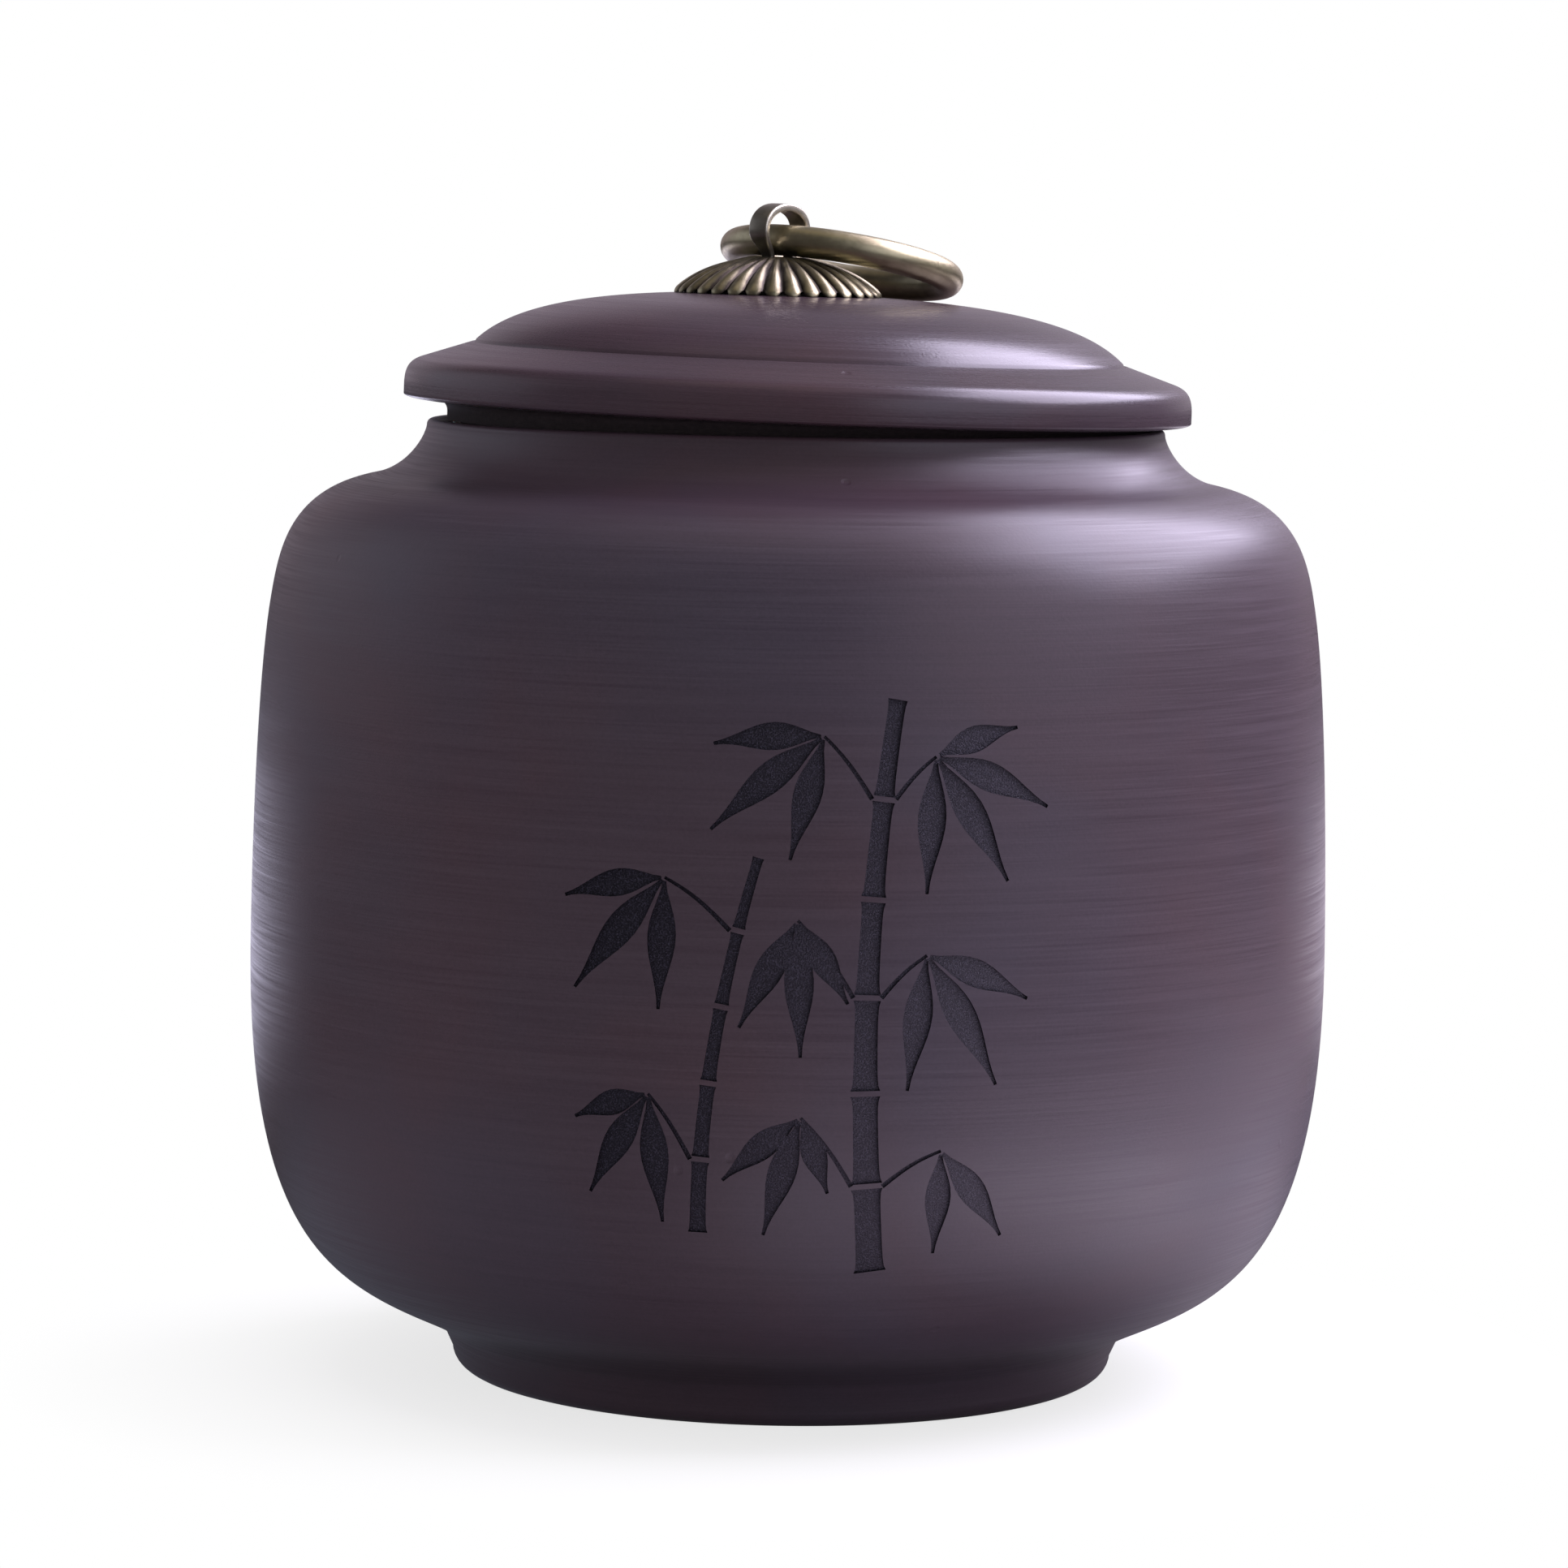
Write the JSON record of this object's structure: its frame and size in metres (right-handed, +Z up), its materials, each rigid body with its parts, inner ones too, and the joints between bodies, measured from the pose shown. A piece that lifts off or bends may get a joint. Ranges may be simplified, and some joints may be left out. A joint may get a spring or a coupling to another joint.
{
  "type": "tea caddy",
  "caption": "Round dark stoneware tea caddy with a domed plug lid, a lip seal, and a brass ring pull on a fluted rosette.",
  "frame": {"origin": "on the ground at the middle of the jar's foot ring", "axes": "+Z up; -Y is the front, the side that the picture shows; +X to its right"},
  "size_m": [0.118, 0.118, 0.1281],
  "materials": {
    "stoneware": "burnished unglazed purple-brown stoneware, satin, with fine turning lines",
    "silicone": "translucent grey silicone rubber, matt",
    "antique_brass": "antiqued brass, dark in the recesses and worn bright on the edges"
  },
  "bodies": {
    "jar_body": {"jar": "stoneware"},
    "lid_body": {"lid": "stoneware", "lid_seal": "silicone", "rosette": "antique_brass", "pin_washer": "antique_brass"},
    "pin_body": {"split_pin": "antique_brass"},
    "ring_body": {"pull_ring": "antique_brass"}
  },
  "joints": [
    {"name": "lid_lift", "type": "slide", "parent": "jar_body", "child": "lid_body", "axis": [0, 0, 1], "range_m": [0, 0.1]},
    {"name": "pin_swivel", "type": "hinge", "parent": "lid_body", "child": "pin_body", "pos_m": [-0.00238, 0, 0.10599], "axis": [0.013, 0, 0.9999], "continuous": true},
    {"name": "ring_fold", "type": "hinge", "parent": "pin_body", "child": "ring_body", "pos_m": [-0.00214, 0, 0.12412], "axis": [0.8038, -0.5948, -0.0105], "range_deg": [0, 204.5]}
  ]
}
